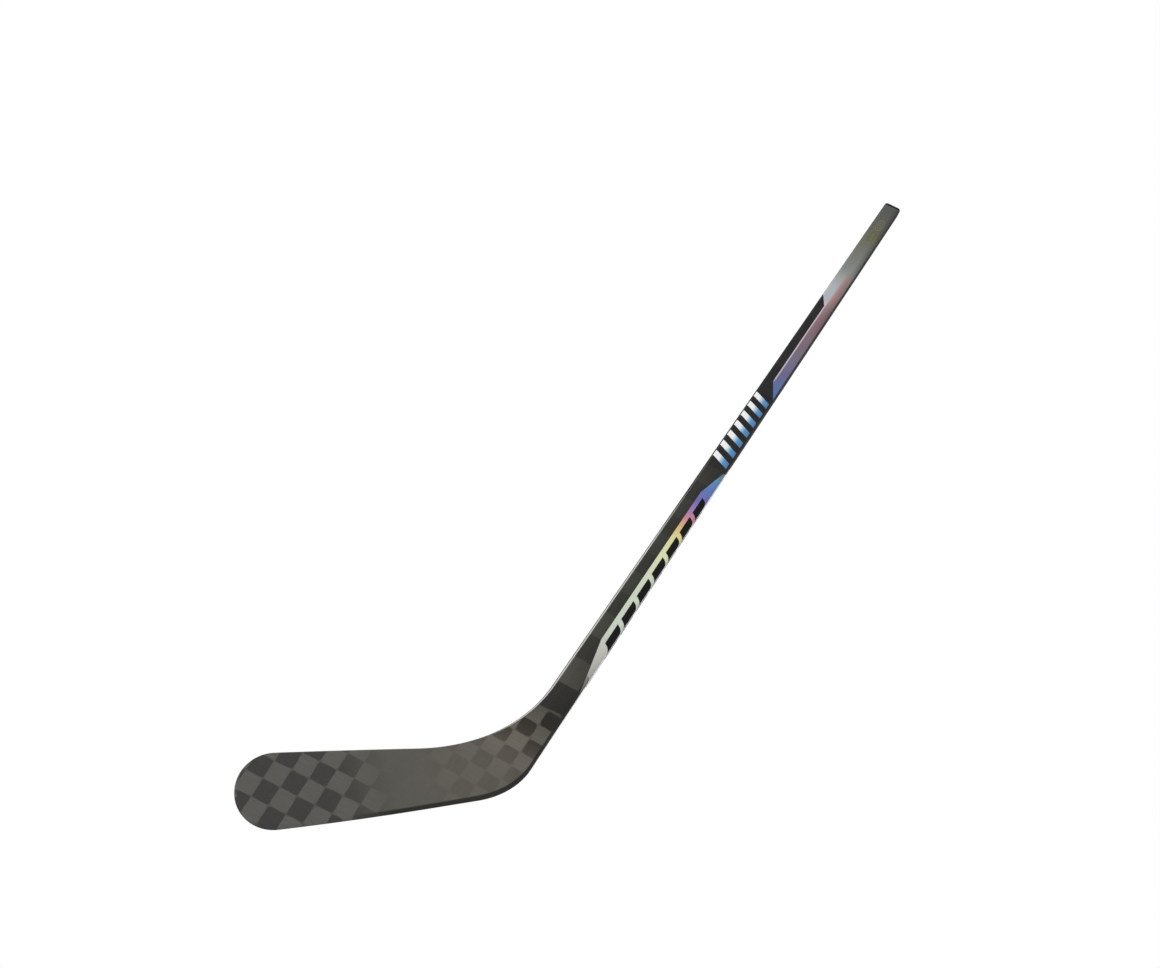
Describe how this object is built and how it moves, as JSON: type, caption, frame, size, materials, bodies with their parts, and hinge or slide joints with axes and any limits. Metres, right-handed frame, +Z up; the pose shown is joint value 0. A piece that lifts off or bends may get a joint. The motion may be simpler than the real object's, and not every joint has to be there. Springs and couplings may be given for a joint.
{
  "type": "ice hockey stick",
  "caption": "Left-hand composite ice hockey stick with a curved woven-carbon blade, a black hollow shaft with iridescent foil bands, and a plug in the butt.",
  "frame": {"origin": "middle of the flat of the sole, on the ice, with the stick in its playing position", "axes": "+X from the toe towards the heel, with the shaft rising at 45 degrees towards +X and +Z; +Z up from the ice; -Y is the side of the convex backhand face"},
  "size_m": [1.3418, 0.0266, 1.0987],
  "materials": {
    "blade_carbon": "satin clear coat over woven carbon, warm grey checks",
    "edge_carbon": "satin dark carbon edge",
    "blade_foam": "closed-cell foam",
    "blade_filler": "filled epoxy, dull",
    "rib_carbon": "dull carbon laminate",
    "shaft_fabric": "gloss clear coat over black woven carbon",
    "shaft_wall": "dull carbon laminate",
    "tenon_carbon": "dull carbon laminate",
    "bond_epoxy": "amber epoxy",
    "dam_foam": "closed-cell foam",
    "plug_plastic": "satin black moulded plastic",
    "plug_hot_melt": "translucent hot-melt adhesive",
    "lower_foil_film": "iridescent foil, silver to yellow, pink, violet and blue",
    "upper_foil_film": "iridescent foil, blue to violet, rose and silver",
    "mark_film": "printed film, white to blue bars on black",
    "label_film": "olive printed label",
    "badge_film": "grey printed oval"
  },
  "bodies": {
    "stick": {"backhand_skin": "blade_carbon", "forehand_skin": "blade_carbon", "edge_wrap": "edge_carbon", "toe_core": "blade_filler", "lower_core": "blade_foam", "bridge_rib": "rib_carbon", "upper_core": "blade_foam", "heel_core": "blade_filler", "shaft_sleeve": "shaft_fabric", "shaft_tube": "shaft_wall", "tenon_bond": "bond_epoxy", "blade_tenon": "tenon_carbon", "foam_dam": "dam_foam", "lower_foil": "lower_foil_film", "upper_foil": "upper_foil_film", "mark_panel": "mark_film", "spec_label": "label_film", "oval_badge": "badge_film"},
    "plug": {"end_plug": "plug_plastic", "plug_glue": "plug_hot_melt"}
  },
  "joints": [
    {"name": "plug_pull", "type": "slide", "parent": "stick", "child": "plug", "axis": [0.7071, 0, 0.7071], "range_m": [0, 0.055]}
  ]
}
